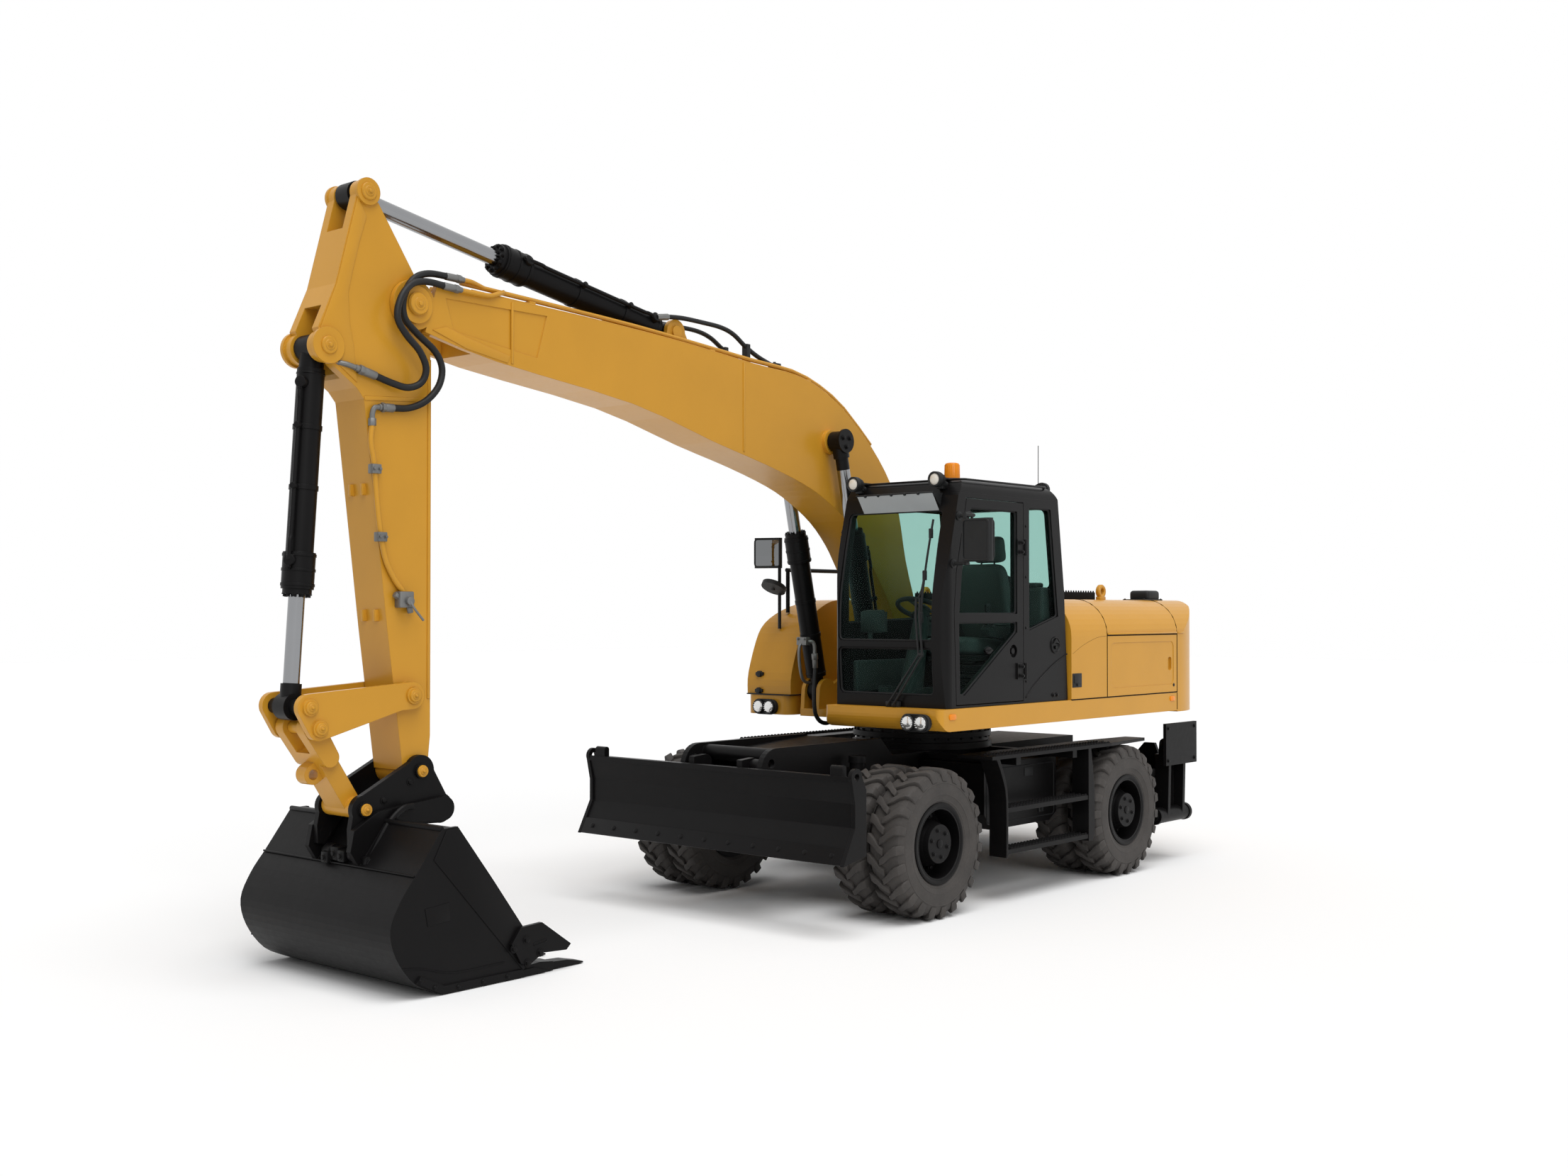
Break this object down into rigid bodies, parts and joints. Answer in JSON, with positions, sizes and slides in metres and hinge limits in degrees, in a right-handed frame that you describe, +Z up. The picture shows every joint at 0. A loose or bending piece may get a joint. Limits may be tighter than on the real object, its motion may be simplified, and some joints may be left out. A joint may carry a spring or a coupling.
{
  "type": "wheeled excavator",
  "caption": "Wheeled excavator with twin tyres, a swinging house with cab, a cylinder-driven boom, stick and bucket, a front blade and rear outriggers.",
  "frame": {"origin": "on the ground under the swing axis", "axes": "+X to the front of chassis, cab and arm, +Y to the driver's left, +Z up"},
  "size_m": [8.367, 2.885, 4.672],
  "materials": {
    "yellow_paint": "satin yellow enamel",
    "black_paint": "satin black enamel",
    "tyre": "matte rubber",
    "rod_chrome": "polished",
    "cast_iron": "rough",
    "tinted_glass": "clear, green tint",
    "seat_fabric": "woven",
    "dark_plastic": "matte",
    "amber_plastic": "clear amber"
  },
  "bodies": {
    "chassis": {"chassis_frame": "black_paint", "swing_bearing": "black_paint", "front_axle": "black_paint", "rear_axle": "black_paint", "drive_line": "black_paint", "boarding_steps": "black_paint", "tool_boxes": "black_paint"},
    "knuckle_left": {"knuckle_left": "black_paint"},
    "knuckle_right": {"knuckle_right": "black_paint"},
    "wheel_front_left": {"tyres_front_left": "tyre", "rims_front_left": "black_paint"},
    "wheel_front_right": {"tyres_front_right": "tyre", "rims_front_right": "black_paint"},
    "wheel_rear_left": {"tyres_rear_left": "tyre", "rims_rear_left": "black_paint"},
    "wheel_rear_right": {"tyres_rear_right": "tyre", "rims_rear_right": "black_paint"},
    "blade_lower_arms": {"blade_lower_arms": "black_paint"},
    "blade_upper_arms": {"blade_upper_arms": "black_paint"},
    "blade": {"dozer_blade": "black_paint"},
    "outrigger_left": {"outrigger_left": "black_paint"},
    "outrigger_right": {"outrigger_right": "black_paint"},
    "pad_left": {"pad_left": "black_paint"},
    "pad_right": {"pad_right": "black_paint"},
    "house": {"upper_frame": "yellow_paint", "counterweight": "yellow_paint", "front_housing": "yellow_paint", "right_box": "yellow_paint", "engine_cover": "yellow_paint", "engine_block": "cast_iron", "exhaust": "black_paint", "cab_shell": "black_paint", "cab_roof": "black_paint", "cab_glass": "tinted_glass", "cab_seat": "seat_fabric", "cab_controls": "dark_plastic", "mirrors": "dark_plastic", "lamps": "dark_plastic", "beacon": "amber_plastic", "handrails": "black_paint"},
    "hood_lid": {"hood_lid": "yellow_paint"},
    "left_service_door": {"left_service_door": "yellow_paint"},
    "right_service_door": {"right_service_door": "yellow_paint"},
    "cab_door": {"cab_door": "black_paint", "cab_door_glass": "tinted_glass"},
    "boom": {"boom": "yellow_paint", "boom_pipes": "yellow_paint"},
    "boom_barrels": {"boom_barrels": "black_paint"},
    "boom_rods": {"boom_rods": "rod_chrome"},
    "stick": {"stick": "yellow_paint"},
    "stick_barrel": {"stick_barrel": "black_paint"},
    "stick_rod": {"stick_rod": "rod_chrome"},
    "bucket_barrel": {"bucket_barrel": "black_paint"},
    "bucket_rod": {"bucket_rod": "rod_chrome"},
    "idler_links": {"idler_links": "yellow_paint"},
    "power_link": {"power_link": "yellow_paint"},
    "bucket": {"quick_coupler": "black_paint", "bucket": "black_paint"}
  },
  "joints": [
    {"name": "swing", "type": "hinge", "parent": "chassis", "child": "house", "pos_m": [0, 0, 1.3], "axis": [0, 0, 1], "continuous": true},
    {"name": "steer_left", "type": "hinge", "parent": "chassis", "child": "knuckle_left", "pos_m": [1.5, 0.7, 0.5275], "axis": [0, 0, 1], "range_deg": [-30, 30]},
    {"name": "steer_right", "type": "hinge", "parent": "chassis", "child": "knuckle_right", "pos_m": [1.5, -0.7, 0.5275], "axis": [0, 0, 1], "range_deg": [-30, 30]},
    {"name": "wheel_front_left_spin", "type": "hinge", "parent": "knuckle_left", "child": "wheel_front_left", "pos_m": [1.5, 0.97, 0.5275], "axis": [0, 1, 0], "continuous": true},
    {"name": "wheel_rear_left_spin", "type": "hinge", "parent": "chassis", "child": "wheel_rear_left", "pos_m": [-1.1, 0.97, 0.5275], "axis": [0, 1, 0], "continuous": true},
    {"name": "wheel_front_right_spin", "type": "hinge", "parent": "knuckle_right", "child": "wheel_front_right", "pos_m": [1.5, -0.97, 0.5275], "axis": [0, 1, 0], "continuous": true},
    {"name": "wheel_rear_right_spin", "type": "hinge", "parent": "chassis", "child": "wheel_rear_right", "pos_m": [-1.1, -0.97, 0.5275], "axis": [0, 1, 0], "continuous": true},
    {"name": "blade_lift", "type": "hinge", "parent": "chassis", "child": "blade_lower_arms", "pos_m": [2.05, 0, 0.6], "axis": [0, -1, 0], "range_deg": [-85, 5]},
    {"name": "blade_upper_swing", "type": "hinge", "parent": "chassis", "child": "blade_upper_arms", "pos_m": [2.01, 0, 0.8], "axis": [0, -1, 0], "range_deg": [-85, 5]},
    {"name": "blade_level", "type": "hinge", "parent": "blade_lower_arms", "child": "blade", "pos_m": [2.36255, 0, 0.86226], "axis": [0, -1, 0], "range_deg": [-5, 85]},
    {"name": "outrigger_left_swing", "type": "hinge", "parent": "chassis", "child": "outrigger_left", "pos_m": [-2.055, 1.13, 0.4], "axis": [-1, 0, 0], "range_deg": [0, 125]},
    {"name": "pad_left_tilt", "type": "hinge", "parent": "outrigger_left", "child": "pad_left", "pos_m": [-2.055, 1.165, 1.01], "axis": [-1, 0, 0], "range_deg": [-35, 0]},
    {"name": "outrigger_right_swing", "type": "hinge", "parent": "chassis", "child": "outrigger_right", "pos_m": [-2.055, -1.13, 0.4], "axis": [1, 0, 0], "range_deg": [0, 125]},
    {"name": "pad_right_tilt", "type": "hinge", "parent": "outrigger_right", "child": "pad_right", "pos_m": [-2.055, -1.165, 1.01], "axis": [1, 0, 0], "range_deg": [-35, 0]},
    {"name": "hood_lid_hinge", "type": "hinge", "parent": "house", "child": "hood_lid", "pos_m": [-1.642, 0, 2.2513], "axis": [0, -1, 0], "range_deg": [0, 50]},
    {"name": "left_service_door_hinge", "type": "hinge", "parent": "house", "child": "left_service_door", "pos_m": [-0.763, 1.275, 1.7], "axis": [0, 0, -1], "range_deg": [0, 95]},
    {"name": "right_service_door_hinge", "type": "hinge", "parent": "house", "child": "right_service_door", "pos_m": [-0.763, -1.275, 1.7], "axis": [0, 0, 1], "range_deg": [0, 95]},
    {"name": "cab_door_hinge", "type": "hinge", "parent": "house", "child": "cab_door", "pos_m": [0.42, 1.2643, 2.2], "axis": [0, 0, 1], "range_deg": [0, 150]},
    {"name": "boom_lift", "type": "hinge", "parent": "house", "child": "boom", "pos_m": [0, -0.3, 1.85], "axis": [0, -1, 0], "range_deg": [-46, 29.5]},
    {"name": "boom_ram_swing", "type": "hinge", "parent": "house", "child": "boom_barrels", "pos_m": [0.605, -0.3, 1.5], "axis": [0, -1, 0], "range_deg": [-43.4, 27.8]},
    {"name": "boom_ram_slide", "type": "slide", "parent": "boom_barrels", "child": "boom_rods", "axis": [0.2225, 0, 0.9749], "range_m": [-0.528, 0.339]},
    {"name": "stick_swing", "type": "hinge", "parent": "boom", "child": "stick", "pos_m": [4.927, -0.3, 3.97], "axis": [0, 1, 0], "range_deg": [-70, 20]},
    {"name": "stick_ram_swing", "type": "hinge", "parent": "boom", "child": "stick_barrel", "pos_m": [2.64, -0.3, 4.11], "axis": [0, 1, 0], "range_deg": [-4.6, 1.35]},
    {"name": "stick_ram_slide", "type": "slide", "parent": "stick_barrel", "child": "stick_rod", "axis": [0.9832, 0, 0.1825], "range_m": [-0.766, 0.22]},
    {"name": "bucket_curl", "type": "hinge", "parent": "stick", "child": "bucket", "pos_m": [4.873, -0.3, 1.194], "axis": [0, 1, 0], "range_deg": [-55, 95]},
    {"name": "idler_swing", "type": "hinge", "parent": "stick", "child": "idler_links", "pos_m": [4.935, -0.3, 1.645], "axis": [0, 1, 0], "range_deg": [-36, 62.2]},
    {"name": "power_link_swing", "type": "hinge", "parent": "idler_links", "child": "power_link", "pos_m": [5.575, -0.3, 1.483], "axis": [0, 1, 0], "range_deg": [-37.1, 21.5]},
    {"name": "bucket_ram_swing", "type": "hinge", "parent": "stick", "child": "bucket_barrel", "pos_m": [5.501, -0.3, 3.662], "axis": [0, 1, 0], "range_deg": [-3.5, 6.1]},
    {"name": "bucket_ram_slide", "type": "slide", "parent": "bucket_barrel", "child": "bucket_rod", "axis": [0.0669, 0, -0.9978], "range_m": [-0.391, 0.675]}
  ],
  "couplings": [
    {"joint": "steer_right", "follows": "steer_left", "ratio": 1},
    {"joint": "blade_upper_swing", "follows": "blade_lift", "ratio": 1},
    {"joint": "blade_level", "follows": "blade_lift", "ratio": -1},
    {"joint": "pad_left_tilt", "follows": "outrigger_left_swing", "ratio": -0.28},
    {"joint": "pad_right_tilt", "follows": "outrigger_right_swing", "ratio": -0.28},
    {"joint": "boom_ram_swing", "follows": "boom_lift", "ratio": 0.942},
    {"joint": "boom_ram_slide", "follows": "boom_lift", "m_per_rad": 0.6567},
    {"joint": "stick_ram_swing", "follows": "stick_swing", "ratio": 0.065},
    {"joint": "stick_ram_slide", "follows": "stick_swing", "m_per_rad": 0.62618},
    {"joint": "idler_swing", "follows": "bucket_curl", "ratio": 0.6537},
    {"joint": "power_link_swing", "follows": "bucket_curl", "ratio": -0.3896},
    {"joint": "bucket_ram_swing", "follows": "bucket_curl", "ratio": 0.0632},
    {"joint": "bucket_ram_slide", "follows": "bucket_curl", "m_per_rad": 0.4068}
  ]
}
